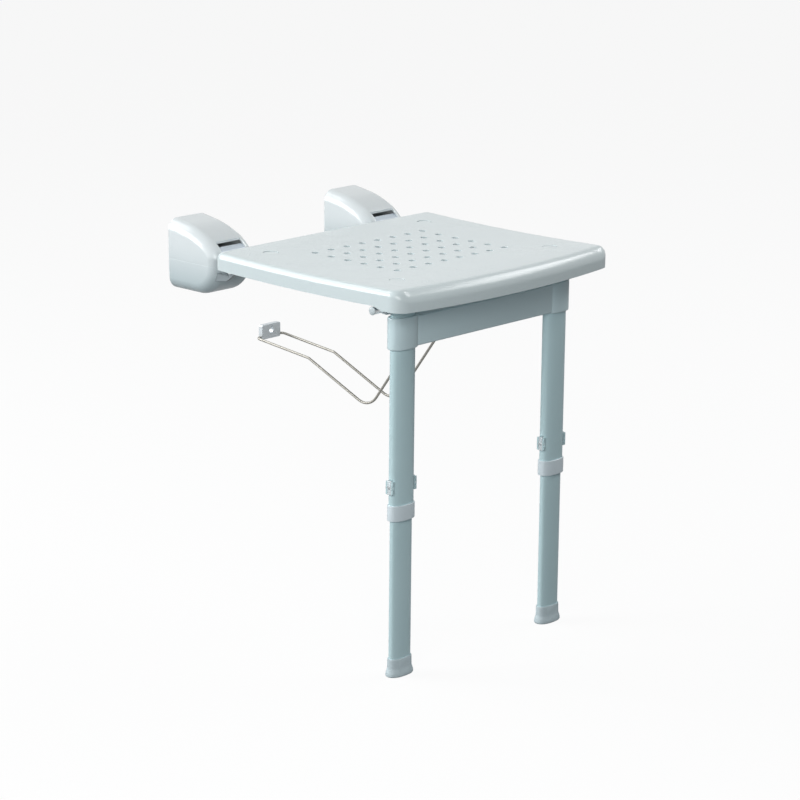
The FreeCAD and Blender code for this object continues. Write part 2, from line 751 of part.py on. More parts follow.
def guide_plug(side):
    """Plug in the top of the inner tube whose rim glides in the outer tube."""
    x = side * leg_x
    top = lower_tube_top
    fit = 2 * (tube_wall + running_gap)
    stem = obround(x, leg_y, top - 8, top + 1, lower_width - fit, lower_depth - fit)
    rim = obround(x, leg_y, top + running_gap, top + 3, tube_width - 2 * tube_wall - 0.2,
                  tube_depth - 2 * tube_wall - 0.2)
    bore = obround(x, leg_y, top - 9, top + 4, lower_width - fit - 5, lower_depth - fit - 5)
    return stem.fuse(rim).cut(bore)


def foot(side):
    """Flared rubber foot pushed over the end of the inner tube."""
    x = side * leg_x
    levels = [(0.0, foot_flare - 0.9), (1.4, foot_flare), (4.5, foot_flare - 0.2), (11.0, 1.7),
              (foot_height - 1.0, 1.4), (foot_height, 1.0)]
    wires = [obround_wire(x, leg_y, floor_z + up, lower_width + 2 * out, lower_depth + 2 * out)
             for up, out in levels]
    block = Part.makeLoft(wires, True, True)
    socket = obround(x, leg_y, floor_z + foot_floor - running_gap, floor_z + foot_height + 1,
                     lower_width + 2 * running_gap, lower_depth + 2 * running_gap)
    return block.cut(socket)


def latch_place(side, end):
    """Moves a latch piece, drawn on the +X side of a tube at the origin, to its own tube side."""
    matrix = FreeCAD.Matrix()
    if end < 0:
        matrix.rotateZ(math.pi)
    matrix.move(V(side * leg_x, leg_y, latch_z))
    return matrix


def four_latches(make):
    """The same latch piece on both sides of both legs."""
    pieces = []
    for side in (-1, 1):
        for end in (-1, 1):
            pieces += [piece.transformGeometry(latch_place(side, end)) for piece in make()]
    return Part.Compound(pieces)


def latch_rocker(side, end):
    """Rocking button: press its upper half and the lug below leaves the inner tube's hole."""
    face = tube_width / 2
    body = box(face + 0.2, face + latch_proud, -latch_width / 2, latch_width / 2,
               -latch_height / 2, latch_height / 2)
    outer_rim = [e for e in body.Edges if abs(e.CenterOfMass.x - face - latch_proud) < 0.01]
    body = body.makeFillet(1.1, outer_rim)
    tip = lower_width / 2 - lug_bite
    body = body.fuse(rod_x(lug_diameter / 2, tip, face + 1, 0, -lug_drop))
    pivot = face + latch_pivot_out
    body = body.cut(rod_y(latch_pin / 2 + running_gap, pivot, -latch_width, latch_width, 0))
    pocket = latch_spring / 2 + 0.5
    body = body.cut(box(face - 1, pivot + pocket, -1.6, 1.6, -pocket, pocket))
    return body.transformGeometry(latch_place(side, end))


def latch_pin_piece():
    half = latch_width / 2 + 2
    return [rod_y(latch_pin / 2, tube_width / 2 + latch_pivot_out, -half, half, 0)]


def latch_cheek_pieces():
    """The two small welded lugs beside a button that hold its pin."""
    cheeks = []
    start = latch_width / 2 + slip_gap
    for way in (-1, 1):
        cheek = box(tube_width / 2 - 5, tube_width / 2 + latch_proud - 0.3, way * start,
                    way * (start + 2.2), -2.6, 2.6)
        cheek = cheek.cut(obround(0, 0, -5, 5, tube_width, tube_depth))
        cheeks.append(cheek.cut(rod_y(latch_pin / 2 + running_gap, tube_width / 2 + latch_pivot_out,
                                      -10, 10, 0)))
    return cheeks


def latch_spring_piece():
    """Wound spring on the pin that pushes the button out and its lug in."""
    pivot = tube_width / 2 + latch_pivot_out
    coil = rod_y(latch_spring / 2, pivot, -1.2, 1.2, 0)
    return [coil.cut(rod_y(latch_pin / 2 + running_gap, pivot, -2, 2, 0))]


def save(name, shape):
    shape.exportStep("parts/" + name + ".step")
    size = shape.BoundBox
    print("%-24s solids %2d valid %s  x %.1f %.1f  y %.1f %.1f  z %.1f %.1f" % (
        name, len(shape.Solids), shape.isValid(), size.XMin, size.XMax, size.YMin, size.YMax,
        size.ZMin, size.ZMax))


os.makedirs("parts", exist_ok=True)
save("seat_shell", seat_shell())
save("seat_screw_caps", screw_caps())
save("seat_screws", seat_screws())
save("hinge_pins", hinge_pins())
save("leg_axle", leg_axle())
save("axle_rings", axle_rings())
save("link_wall_plate", link_plate())
save("wire_link", wire_link())
save("leg_crossbar", leg_crossbar())
save("collar_screws", collar_screws())
save("link_saddle", link_saddle())
save("latch_pins", four_latches(latch_pin_piece))
save("latch_cheeks", four_latches(latch_cheek_pieces))
save("latch_springs", four_latches(latch_spring_piece))
for side, hand in ((-1, "left"), (1, "right")):
    save("bracket_cover_" + hand, bracket_cover(side))
    save("bracket_base_" + hand, bracket_base(side))
    save("bracket_insert_" + hand, bracket_insert(side))
    save("hinge_arm_" + hand, hinge_arm(side))
    save("axle_block_" + hand, axle_block(side))
    save("upper_tube_" + hand, upper_tube(side))
    save("pivot_plug_" + hand, pivot_plug(side))
    save("height_ferrule_" + hand, height_ferrule(side))
    save("lower_tube_" + hand, lower_tube(side))
    save("guide_plug_" + hand, guide_plug(side))
    save("foot_" + hand, foot(side))
    for end, place in ((side, "outer"), (-side, "inner")):
        save("latch_" + hand + "_" + place, latch_rocker(side, end))
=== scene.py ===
import bpy
import bmesh
import json
import math
from mathutils import Matrix, Vector

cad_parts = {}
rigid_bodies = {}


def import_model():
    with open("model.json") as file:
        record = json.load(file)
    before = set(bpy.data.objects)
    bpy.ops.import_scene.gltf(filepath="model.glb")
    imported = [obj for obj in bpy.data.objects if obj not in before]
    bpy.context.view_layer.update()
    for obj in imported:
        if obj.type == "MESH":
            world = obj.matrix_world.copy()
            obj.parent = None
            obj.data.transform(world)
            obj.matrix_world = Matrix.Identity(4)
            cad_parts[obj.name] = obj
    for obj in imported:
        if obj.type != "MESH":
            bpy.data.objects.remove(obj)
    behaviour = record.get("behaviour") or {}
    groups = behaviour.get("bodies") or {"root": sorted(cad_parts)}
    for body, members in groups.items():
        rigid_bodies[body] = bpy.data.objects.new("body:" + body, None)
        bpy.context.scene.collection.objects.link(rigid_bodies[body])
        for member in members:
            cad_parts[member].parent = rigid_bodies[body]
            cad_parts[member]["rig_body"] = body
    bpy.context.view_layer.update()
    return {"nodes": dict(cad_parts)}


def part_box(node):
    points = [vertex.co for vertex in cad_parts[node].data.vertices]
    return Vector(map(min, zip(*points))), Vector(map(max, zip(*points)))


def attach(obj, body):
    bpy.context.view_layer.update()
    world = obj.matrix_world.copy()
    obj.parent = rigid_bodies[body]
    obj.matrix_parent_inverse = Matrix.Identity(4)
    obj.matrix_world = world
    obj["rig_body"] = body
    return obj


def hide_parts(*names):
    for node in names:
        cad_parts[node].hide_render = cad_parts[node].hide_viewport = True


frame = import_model()


# Bracket covers: two hollow hoods of glossy white plastic, injection moulded and clipped over
# the wall brackets. Their sides draw in a little towards the chin, and a faint parting line
# runs round each hood at half its height.
class Maths:
    """A shader socket that takes +, -, *, / and gives the Math nodes for them."""

    def __init__(self, tree, socket):
        self.tree = tree
        self.socket = socket

    def node(self, kind, settings=None, inputs=None, output=0):
        """Any other node, its inputs given by name or number as plain values or sockets."""
        made = self.tree.nodes.new(kind)
        for name, value in (settings or {}).items():
            setattr(made, name, value)
        for key, value in (inputs or {}).items():
            if isinstance(value, Maths):
                self.tree.links.new(value.socket, made.inputs[key])
            else:
                made.inputs[key].default_value = value
        return Maths(self.tree, made.outputs[output])

    def _pair(self, operation, first, second):
        return self.node("ShaderNodeMath", {"operation": operation}, {0: first, 1: second})

    def __add__(self, other):
        return self._pair("ADD", self, other)

    def __radd__(self, other):
        return self._pair("ADD", other, self)

    def __sub__(self, other):
        return self._pair("SUBTRACT", self, other)

    def __mul__(self, other):
        return self._pair("MULTIPLY", self, other)

    def __rmul__(self, other):
        return self._pair("MULTIPLY", other, self)

    def __truediv__(self, other):
        return self._pair("DIVIDE", self, other)


def new_finish(name):
    """An empty material, its surface shader, and the place on the piece as a socket."""
    finish = bpy.data.materials.new(name)
    finish.use_nodes = True
    tree = finish.node_tree
    where = Maths(tree, tree.nodes.new("ShaderNodeTexCoord").outputs["Object"])
    return finish, tree.nodes["Principled BSDF"], where


def noise(where, scale, detail=2.0, stretch=None):
    """Noise over the piece, 0 to 1, drawn out along an axis where stretch says so."""
    if stretch:
        where = where.node("ShaderNodeMapping", None, {"Vector": where, "Scale": stretch})
    return where.node("ShaderNodeTexNoise", None,
                      {"Vector": where, "Scale": scale, "Detail": detail})


def fade(value, begin, end):
    """0 at begin and 1 at end, with a soft step between."""
    return value.node("ShaderNodeMapRange", {"interpolation_type": "SMOOTHSTEP"},
                      {"Value": value, "From Min": begin, "From Max": end})


def blend(share, first, second):
    """The first colour where share is 0 and the second where it is 1."""
    return share.node("ShaderNodeMix", {"data_type": "RGBA"}, {0: share, 6: first, 7: second},
                      output=2)


def feed(shader, **sockets):
    """Links what changes over the surface, and sets the rest on the shader's own sockets."""
    for name, value in sockets.items():
        target = shader.inputs[name.replace("_", " ")]
        if isinstance(value, Maths):
            value.tree.links.new(value.socket, target)
        else:
            target.default_value = value


def relief(height, strength, distance):
    """A fine relief of the surface, for what is too small for the mesh."""
    return height.node("ShaderNodeBump", None,
                       {"Height": height, "Strength": strength, "Distance": distance})


def tinted(colour, tint):
    return tuple(part * much for part, much in zip(colour, tint)) + (1,)


def moulded_plastic(name, light, deep, gloss, peel_strength, seam=None):
    """Moulded plastic: faint flow clouds, haze and fine orange peel.

    With a seam it also gets a parting line at that height, and painted shade that turns it greyer
    below.
    """
    finish, shader, where = new_finish(name)
    clouds = noise(where, 9.0, 3.0)
    flow = noise(where, 26.0, 2.0, (1.0, 0.25, 1.0))
    specks = noise(where, 1100.0)
    peel = noise(where, 300.0)
    share = clouds * 0.5 + flow * 0.3 + specks * 0.2
    height = peel + specks * 0.35
    if seam is not None:
        up = where.node("ShaderNodeSeparateXYZ", None, {0: where}, output=2)
        away = up.node("ShaderNodeMath", {"operation": "ABSOLUTE"}, {0: up - seam})
        line = fade(away, 0.0001, 0.0006)
        height = height + line * 2.4
        share = share * (0.75 + 0.25 * line)
        # Painted shade: from a little above the seam down to the chin, the colour blends towards
        # greyer copies of itself, so the hood is darker towards the bottom.
        painted_shade_below = fade(up, seam + 0.03, seam - 0.05)
        deep = blend(painted_shade_below, deep, tinted(deep, (0.60, 0.68, 0.70)))
        light = blend(painted_shade_below, light, tinted(light, (0.62, 0.70, 0.72)))
    feed(shader, Base_Color=blend(share, deep, light),
         Roughness=gloss + clouds * 0.05 + specks * 0.05,
         Normal=relief(height, peel_strength, 0.0002),
         IOR=1.5, Coat_Weight=0.35, Coat_Roughness=0.24)
    return finish


sharp_angle = math.radians(32.0)
weld_distance = 0.000004
cut_distance = 0.000002


def moulded_copy(node, name, finish, edge, steps=2, reshape=None, edge_share=None):
    """The form of a CAD node as one closed mesh whose sharp edges are broken a little.

    reshape works on the mesh first; edge_share says how much of the width an edge gets.
    """
    mesh = frame["nodes"][node].data.copy()
    mesh.name = name
    work = bmesh.new()
    work.from_mesh(mesh)
    bmesh.ops.remove_doubles(work, verts=work.verts, dist=weld_distance)
    bmesh.ops.dissolve_degenerate(work, dist=cut_distance, edges=work.edges)
    if reshape:
        reshape(work)
    width = work.edges.layers.float.new("bevel_weight_edge")
    for line in work.edges:
        if len(line.link_faces) == 2 and line.calc_face_angle() > sharp_angle:
            line[width] = edge_share(line) if edge_share else 1.0
    work.to_mesh(mesh)
    work.free()
    if "custom_normal" in mesh.attributes:
        mesh.attributes.remove(mesh.attributes["custom_normal"])
    mesh.materials.clear()
    mesh.materials.append(finish)
    mesh.shade_smooth()
    piece = bpy.data.objects.new(name, mesh)
    bpy.context.scene.collection.objects.link(piece)
    bevel = piece.modifiers.new("broken_edges", "BEVEL")
    bevel.width = edge
    bevel.segments = steps
    bevel.limit_method = "WEIGHT"
    bevel.harden_normals = True
    bevel.use_clamp_overlap = True
    bake(piece)
    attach(piece, frame["nodes"][node]["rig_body"])
    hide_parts(node)


def bake(piece):
    """Turns a piece with its modifiers into a plain mesh."""
    graph = bpy.context.evaluated_depsgraph_get()
    finished = bpy.data.meshes.new_from_object(piece.evaluated_get(graph))
    piece.modifiers.clear()
    piece.data = finished


def cut(work, place, direction):
    """Cuts every face that a plane passes through, so that the form can bend there."""
    bmesh.ops.bisect_plane(work, geom=work.verts[:] + work.edges[:] + work.faces[:],
                           dist=cut_distance, plane_co=place, plane_no=direction)


cover_draft = 0.06
straight_share = 0.7
draft_steps = 9


def drawn_in(node):
    """Draws the lower part of a hood's sides in towards the chin, as a drafted mould does."""
    low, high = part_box(node)
    middle_x = (low.x + high.x) / 2
    begin = low.z + straight_share * (high.z - low.z)

    def reshape(work):
        for step in range(draft_steps):
            cut(work, (0, 0, begin - step / draft_steps * (begin - low.z)), (0, 0, 1))
        for point in work.verts:
            fall = max(0.0, (begin - point.co.z) / (begin - low.z))
            point.co.x = middle_x + (point.co.x - middle_x) * (1 - cover_draft * fall ** 2)
    return reshape


parting_line = -0.004
# The covers' colour carries painted shade: below the parting line it greys towards the bottom of
# each hood.
cover_white = moulded_plastic("cover_white", (0.80, 0.85, 0.865, 1), (0.77, 0.83, 0.85, 1),
                              0.20, 0.30, seam=parting_line)
for hand in ("left", "right"):
    moulded_copy("bracket_cover_" + hand, "cover_" + hand, cover_white, edge=0.0005,
                 reshape=drawn_in("bracket_cover_" + hand))


# Trim plates in the covers' noses: small pressed-in plates of a cooler, satin white plastic,
# with a finger slot left open behind each.
trim_blue = moulded_plastic("trim_blue", (0.70, 0.78, 0.86, 1), (0.66, 0.75, 0.84, 1),
                            0.30, 0.35)
for hand in ("left", "right"):
    moulded_copy("bracket_insert_" + hand, "trim_plate_" + hand, trim_blue, edge=0.0003)


# Bracket bases: cast metal plates with two arms each, screwed to the wall under the covers and
# powder coated in a darker grey.
def powder_coat(name, light, deep, gloss):
    """Baked powder: a fine regular orange peel with a soft sheen and slightly cloudy colour."""
    finish, shader, where = new_finish(name)
    clouds = noise(where, 14.0, 3.0)
    peel = noise(where, 520.0, 1.0)
    grains = noise(where, 1900.0, 1.0)
    feed(shader, Base_Color=blend(clouds * 0.7 + grains * 0.3, deep, light),
         Roughness=gloss + clouds * 0.07 + grains * 0.06,
         Normal=relief(peel + grains * 0.3, 0.35, 0.0002),
         IOR=1.35, Coat_Weight=0.02, Coat_Roughness=0.2)
    return finish


base_coat = powder_coat("base_coat", (0.30, 0.34, 0.36, 1), (0.25, 0.29, 0.31, 1), 0.34)
for hand in ("left", "right"):
    moulded_copy("bracket_base_" + hand, "base_casting_" + hand, base_coat, edge=0.0006)


# Hinge: four short turned pins of zinc-plated steel join the wall arms to the two cast hinge
# arms, which are screwed under the rear of the seat.
def plated_steel(name, light, deep, gloss, drawn=None, fineness=900.0, depth=0.25):
    """Zinc-plated or drawn steel: fine lines along the drawing direction, cloudy plating."""
    finish, shader, where = new_finish(name)
    clouds = noise(where, 40.0, 3.0)
    lines = noise(where, fineness, 2.0, drawn or (1.0, 1.0, 1.0))
    specks = noise(where, fineness * 3, 1.0)
    feed(shader, Base_Color=blend(clouds * 0.6 + lines * 0.4, deep, light), Metallic=1.0,
         Roughness=gloss + lines * 0.14 + clouds * 0.08,
         Normal=relief(lines + specks * 0.4, depth, 0.0001))
    return finish


def dress(finish, *nodes):
    """Gives CAD nodes whose shape is right their finish."""
    for node in nodes:
        shape = frame["nodes"][node]
        for slot in shape.material_slots:
            slot.material = finish
        if not shape.material_slots:
            shape.data.materials.append(finish)


pin_steel = plated_steel("pin_steel", (0.72, 0.73, 0.74, 1), (0.56, 0.57, 0.58, 1), 0.24,
                         drawn=(0.1, 1.0, 1.0))
dress(pin_steel, "hinge_pins")
hinge_coat = powder_coat("hinge_coat", (0.30, 0.34, 0.36, 1), (0.25, 0.29, 0.31, 1), 0.38)
for hand in ("left", "right"):
    moulded_copy("hinge_arm_" + hand, "hinge_arm_casting_" + hand, hinge_coat, edge=0.0006)


# The seat moulding: one shell of glossy white plastic with a dished top, a rolled rim, drain
# holes with broken lips, and stiffening ribs underneath.
seat_white = moulded_plastic("seat_white", (0.70, 0.785, 0.80, 1), (0.67, 0.765, 0.785, 1),
                             0.23, 0.35)
top_above = 0.012
drain_reach = 0.112
drain_front = -0.36
drain_rear = -0.19
longest_lip_edge = 0.003


def wide_lips(line):
    """Drain holes get a wide rolled lip, every other sharp edge of the seat a narrow one."""
    on_top = min(point.co.z for point in line.verts) > top_above
    centre = (line.verts[0].co + line.verts[1].co) / 2
    in_field = abs(centre.x) < drain_reach and drain_front < centre.y < drain_rear
    return 1.0 if on_top and in_field and line.calc_length() < longest_lip_edge else 0.55


moulded_copy("seat_shell", "seat_moulding", seat_white, edge=0.0011, steps=3,
             edge_share=wide_lips)


# Screw caps in the sitting surface, pressed into their recesses, and the four screws that
# they cover.
cap_white = moulded_plastic("cap_white", (0.71, 0.79, 0.805, 1), (0.68, 0.77, 0.79, 1),
                            0.30, 0.35)
moulded_copy("seat_screw_caps", "pressed_caps", cap_white, edge=0.0003)
screw_steel = plated_steel("screw_steel", (0.70, 0.71, 0.72, 1), (0.52, 0.53, 0.55, 1), 0.28,
                           drawn=(1.0, 1.0, 0.15))
dress(screw_steel, "seat_screws")


# Leg axle: a thin drawn aluminium tube under the front of the seat, held by two cast blocks
# and by two push-on plastic rings. A domed plug closes each of its ends.
axle_aluminium = plated_steel("axle_aluminium", (0.80, 0.82, 0.83, 1), (0.68, 0.70, 0.72, 1),
                              0.26, drawn=(0.03, 1.0, 1.0))
dress(axle_aluminium, "leg_axle")
block_coat = powder_coat("block_coat", (0.60, 0.68, 0.70, 1), (0.54, 0.62, 0.65, 1), 0.38)
for hand in ("left", "right"):
    moulded_copy("axle_block_" + hand, "axle_block_casting_" + hand, block_coat, edge=0.0006)
ring_grey = moulded_plastic("ring_grey", (0.62, 0.69, 0.71, 1), (0.56, 0.63, 0.66, 1),
                            0.42, 0.4)
moulded_copy("axle_rings", "push_on_rings", ring_grey, edge=0.0004)
plug_radius = 0.0056
plug_flatness = 0.32


def domed_plug(name, centre):
    """A ball flattened along the axle, half of it standing out of the tube's end."""
    work = bmesh.new()
    bmesh.ops.create_uvsphere(work, u_segments=36, v_segments=18, radius=plug_radius)
    for point in work.verts:
        point.co = (centre[0] + point.co.z * plug_flatness, centre[1] + point.co.x,
                    centre[2] + point.co.y)
    bmesh.ops.recalc_face_normals(work, faces=work.faces[:])
    mesh = bpy.data.meshes.new(name)
    work.to_mesh(mesh)
    work.free()
    mesh.shade_smooth()
    mesh.materials.append(ring_grey)
    plug = bpy.data.objects.new(name, mesh)
    bpy.context.scene.collection.objects.link(plug)
    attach(plug, "seat")


low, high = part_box("leg_axle")
for name, end_x in (("end_plug_left", low.x), ("end_plug_right", high.x)):
    domed_plug(name, (end_x, (low.y + high.y) / 2, (low.z + high.z) / 2))


# Outer leg tubes: flat-oval aluminium tubes, powder coated, each with a plastic pivot plug in
# its top that turns on the axle.
leg_x = 0.150
tube_flat = 0.020
oval_power = 2.4
belly_cuts = (0.0, 0.12, 0.24, 0.36, 0.47, 0.57, 0.66, 0.74, 0.82, 0.90)


def bellied(node):
    """Works a flat-oval form so that its flat sides get the slight belly of drawn oval tube."""
    low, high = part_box(node)
    middle_y = (low.y + high.y) / 2
    half_depth = (high.y - low.y) / 2
    half_width = half_depth + tube_flat / 2
    round_both_legs = high.x - low.x > leg_x
    middles = (-leg_x, leg_x) if round_both_legs else ((low.x + high.x) / 2,)

    def reshape(work):
        for middle_x in middles:
            for share in belly_cuts:
                for side in (-1, 1):
                    cut(work, (middle_x + side * share * half_width, 0, 0), (1, 0, 0))
            for point in work.verts:
                off = abs(point.co.x - middle_x)
                if off < half_width:
                    past = max(0.0, off - tube_flat / 2)
                    oval = math.sqrt(half_depth ** 2 - past ** 2)
                    belly = half_depth * (1 - (off / half_width) ** oval_power) ** (1 / oval_power)
                    squeeze = min(1.0, belly / oval)
                    point.co.y = middle_y + (point.co.y - middle_y) * squeeze
    return reshape


leg_coat = powder_coat("leg_coat", (0.63, 0.81, 0.845, 1), (0.57, 0.76, 0.80, 1), 0.26)
for hand in ("left", "right"):
    moulded_copy("upper_tube_" + hand, "outer_tube_" + hand, leg_coat, edge=0.0003,
                 reshape=bellied("upper_tube_" + hand))
plug_grey = moulded_plastic("plug_grey", (0.48, 0.52, 0.54, 1), (0.42, 0.46, 0.48, 1),
                            0.42, 0.4)
dress(plug_grey, "pivot_plug_left", "pivot_plug_right")


# Crossbar: one white moulding, a channel open to the rear with a collar round each leg. A
# screw at the back of each collar keeps it from sliding on its tube, and a plastic hook in
# the middle holds the wire.
crossbar_white = moulded_plastic("crossbar_white", (0.71, 0.86, 0.90, 1),
                                 (0.66, 0.82, 0.86, 1), 0.28, 0.3)
moulded_copy("leg_crossbar", "crossbar_moulding", crossbar_white, edge=0.0007,
             reshape=bellied("leg_crossbar"))


def point_mesh(name, places, lines=()):
    """A mesh of bare points, with lines between them where they are given."""
    mesh = bpy.data.meshes.new(name)
    mesh.from_pydata(places, lines, [])
    return mesh


def grow(name, mesh, rule, finish, body, **sizes):
    """A piece that a Geometry Nodes rule grows on a few points, kept as a plain mesh."""
    tree = bpy.data.node_groups.new(name + "_rule", "GeometryNodeTree")
    tree.interface.new_socket("Points", in_out="INPUT", socket_type="NodeSocketGeometry")
    tree.interface.new_socket("Piece", in_out="OUTPUT", socket_type="NodeSocketGeometry")
    keys = {}
    for size, value in sizes.items():
        kind = "NodeSocketInt" if isinstance(value, int) else "NodeSocketFloat"
        socket = tree.interface.new_socket(size, in_out="INPUT", socket_type=kind)
        keys[size] = socket.identifier
    entry = tree.nodes.new("NodeGroupInput")
    points = Maths(tree, entry.outputs["Points"])
    grown = rule(points, **{size: Maths(tree, entry.outputs[size]) for size in sizes})
    whole = grown.node("GeometryNodeRealizeInstances", None, {"Geometry": grown})
    dressed = whole.node("GeometryNodeSetMaterial", None,
                         {"Geometry": whole, "Material": finish})
    tree.links.new(dressed.socket, tree.nodes.new("NodeGroupOutput").inputs[0])
    piece = bpy.data.objects.new(name, mesh)
    bpy.context.scene.collection.objects.link(piece)
    growth = piece.modifiers.new("growth", "NODES")
    growth.node_group = tree
    for size, value in sizes.items():
        growth[keys[size]] = value
    bake(piece)
    piece.data.shade_smooth()
    piece.data.set_sharp_from_angle(angle=sharp_angle)
    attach(piece, body)
    return piece


def pan_head_screw(points, head, head_height, shank, length):
    """A screw that points to the front: domed head with a cross recess, and its shank."""
    ball = points.node("GeometryNodeMeshUVSphere", None,
                       {"Segments": 40, "Rings": 24, "Radius": head})
    flatten = points.node("ShaderNodeCombineXYZ", None, {0: 1.0, 1: 1.0, 2: head_height / head})
    dome = ball.node("GeometryNodeTransform", None, {"Geometry": ball, "Scale": flatten})
    for along, across in ((1.05, 0.26), (0.26, 1.05)):
        size = points.node("ShaderNodeCombineXYZ", None,
                           {0: head * along, 1: head * across, 2: head_height * 1.1})
        rise = points.node("ShaderNodeCombineXYZ", None, {2: head_height})
        bar = size.node("GeometryNodeMeshCube", None, {"Size": size})
        bar = bar.node("GeometryNodeTransform", None, {"Geometry": bar, "Translation": rise})
        dome = dome.node("GeometryNodeMeshBoolean", {"operation": "DIFFERENCE"},
                         {"Mesh 1": dome, "Mesh 2": bar})
    rod = points.node("GeometryNodeMeshCylinder", None,
                      {"Vertices": 24, "Radius": shank, "Depth": length})
    drop = points.node("ShaderNodeCombineXYZ", None, {2: length * -0.5})
    rod = rod.node("GeometryNodeTransform", None, {"Geometry": rod, "Translation": drop})
    screw = rod.node("GeometryNodeJoinGeometry", None, {"Geometry": rod})
    screw.tree.links.new(dome.socket, screw.socket.node.inputs[0])
    return points.node("GeometryNodeInstanceOnPoints", None,
                       {"Points": points, "Instance": screw, "Rotation": (-math.pi / 2, 0, 0)})


low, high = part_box("collar_screws")
screw_z = (low.z + high.z) / 2
head_height = 0.0021
heads = point_mesh("pan_head_screws", [(side * leg_x, high.y - head_height, screw_z)
                                       for side in (-1, 1)])
screws = grow("pan_head_screws", heads, pan_head_screw, screw_steel, "leg_frame",
              head=0.0036, head_height=head_height, shank=0.0018, length=0.0034)
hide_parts("collar_screws")
saddle_grey = moulded_plastic("saddle_grey", (0.50, 0.54, 0.56, 1), (0.44, 0.48, 0.50, 1),
                              0.40, 0.4)
moulded_copy("link_saddle", "wire_hook", saddle_grey, edge=0.0005)


# Ferrules at the lower ends of the outer tubes, pushed on and glued; they guide the inner
# tubes.
ferrule_white = moulded_plastic("ferrule_white", (0.79, 0.88, 0.93, 1), (0.75, 0.85, 0.90, 1),
                                0.26, 0.3)
for hand in ("left", "right"):
    moulded_copy("height_ferrule_" + hand, "ferrule_" + hand, ferrule_white, edge=0.0004,
                 reshape=bellied("height_ferrule_" + hand))


# Height latches: rocking plastic buttons, each on a steel pin between two welded cheeks, with
# a coil spring on the pin. Ribs on the upper half of a button give the finger its grip.
button_white = moulded_plastic("button_white", (0.72, 0.79, 0.82, 1), (0.68, 0.76, 0.79, 1),
                               0.32, 0.35)
buttons = [(hand, place) for hand in ("left", "right") for place in ("outer", "inner")]
for hand, place in buttons:
    moulded_copy("latch_%s_%s" % (hand, place), "button_%s_%s" % (hand, place), button_white,
                 edge=0.0003)
dress(pin_steel, "latch_pins")
cheek_stretch = 3.4


def drawn_out(work):
    """Draws the welded cheeks out along the leg, so that they frame the whole button."""
    low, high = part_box("latch_cheeks")
    middle = (low.z + high.z) / 2
    for point in work.verts:
        point.co.z = middle + (point.co.z - middle) * cheek_stretch


moulded_copy("latch_cheeks", "button_frames", leg_coat, edge=0.0006, reshape=drawn_out)


def grip_ribs(points, count, pitch, rib, length):
    """A column of half-round ribs standing across the button."""
    step = points.node("ShaderNodeCombineXYZ", None, {2: pitch})
    line = points.node("GeometryNodeMeshLine", None, {"Count": count, "Offset": step})
    bar = points.node("GeometryNodeMeshCylinder", None,
                      {"Vertices": 16, "Radius": rib, "Depth": length})
    column = points.node("GeometryNodeInstanceOnPoints", None,
                         {"Points": line, "Instance": bar, "Rotation": (math.pi / 2, 0, 0)})
    return points.node("GeometryNodeInstanceOnPoints", None,
                       {"Points": points, "Instance": column})


def coil_spring(points, turns, coil, wire, length):
    """A close-wound coil lying across the button, round its pin."""
    helix = points.node("GeometryNodeCurveSpiral", None,
                        {"Resolution": 24, "Rotations": turns, "Start Radius": coil,
                         "End Radius": coil, "Height": length})
    section = points.node("GeometryNodeCurvePrimitiveCircle", None,
                          {"Resolution": 10, "Radius": wire})
    coiled = points.node("GeometryNodeCurveToMesh", None,
                         {"Curve": helix, "Profile Curve": section, "Fill Caps": True})
    return points.node("GeometryNodeInstanceOnPoints", None,
                       {"Points": points, "Instance": coiled, "Rotation": (math.pi / 2, 0, 0)})


lowest_rib_below_top = 0.0075
for hand, place in buttons:
    low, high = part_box("latch_%s_%s" % (hand, place))
    face = low.x if (hand == "left") == (place == "outer") else high.x
    name = "ribs_%s_%s" % (hand, place)
    lowest = point_mesh(name, [(face, (low.y + high.y) / 2, high.z - lowest_rib_below_top)])
    ribs = grow(name, lowest, grip_ribs, button_white, "button_%s_%s" % (hand, place),
                count=5, pitch=0.0012, rib=0.00035, length=0.0042)
low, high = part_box("latch_springs")
spring_z = (low.z + high.z) / 2
pin_off_leg = high.x - leg_x - 0.0014
spring_ends = point_mesh("springs", [(side * leg_x + end * pin_off_leg, high.y, spring_z)
                                     for side in (-1, 1) for end in (-1, 1)])
springs = grow("springs", spring_ends, coil_spring, pin_steel, "leg_frame",
               turns=5.0, coil=0.0012, wire=0.0002, length=0.0024)
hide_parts("latch_springs")


# Inner leg tubes with the column of latch holes, and the plug in the top of each that glides
# inside the outer tube.
for hand in ("left", "right"):
    moulded_copy("lower_tube_" + hand, "inner_tube_" + hand, leg_coat, edge=0.0003,
                 reshape=bellied("lower_tube_" + hand))
dress(plug_grey, "guide_plug_left", "guide_plug_right")


# Feet: flared caps of pale rubber pushed over the ends of the inner tubes. They are matt, and
# the only pieces that touch the floor.
def pale_rubber(name, light, deep):
    """Moulded rubber: matt, with a dusty bloom and a fine grain."""
    finish, shader, where = new_finish(name)
    bloom = noise(where, 55.0, 4.0)
    grain = noise(where, 1400.0, 2.0)
    feed(shader, Base_Color=blend(bloom * 0.7 + grain * 0.3, deep, light),
         Roughness=0.5 + bloom * 0.15, Normal=relief(grain, 0.35, 0.0002), IOR=1.48)
    return finish


foot_rubber = pale_rubber("foot_rubber", (0.66, 0.76, 0.80, 1), (0.57, 0.68, 0.72, 1))
for hand in ("left", "right"):
    moulded_copy("foot_" + hand, "rubber_foot_" + hand, foot_rubber, edge=0.0006,
                 reshape=bellied("foot_" + hand))


# Wall plate: a small nickel-plated steel block with a keyhole for its screw. The ends of the
# wire turn in a bore along its lower edge.
plate_nickel = plated_steel("plate_nickel", (0.66, 0.70, 0.72, 1), (0.55, 0.59, 0.62, 1), 0.34)
moulded_copy("link_wall_plate", "keyhole_plate", plate_nickel, edge=0.0003)


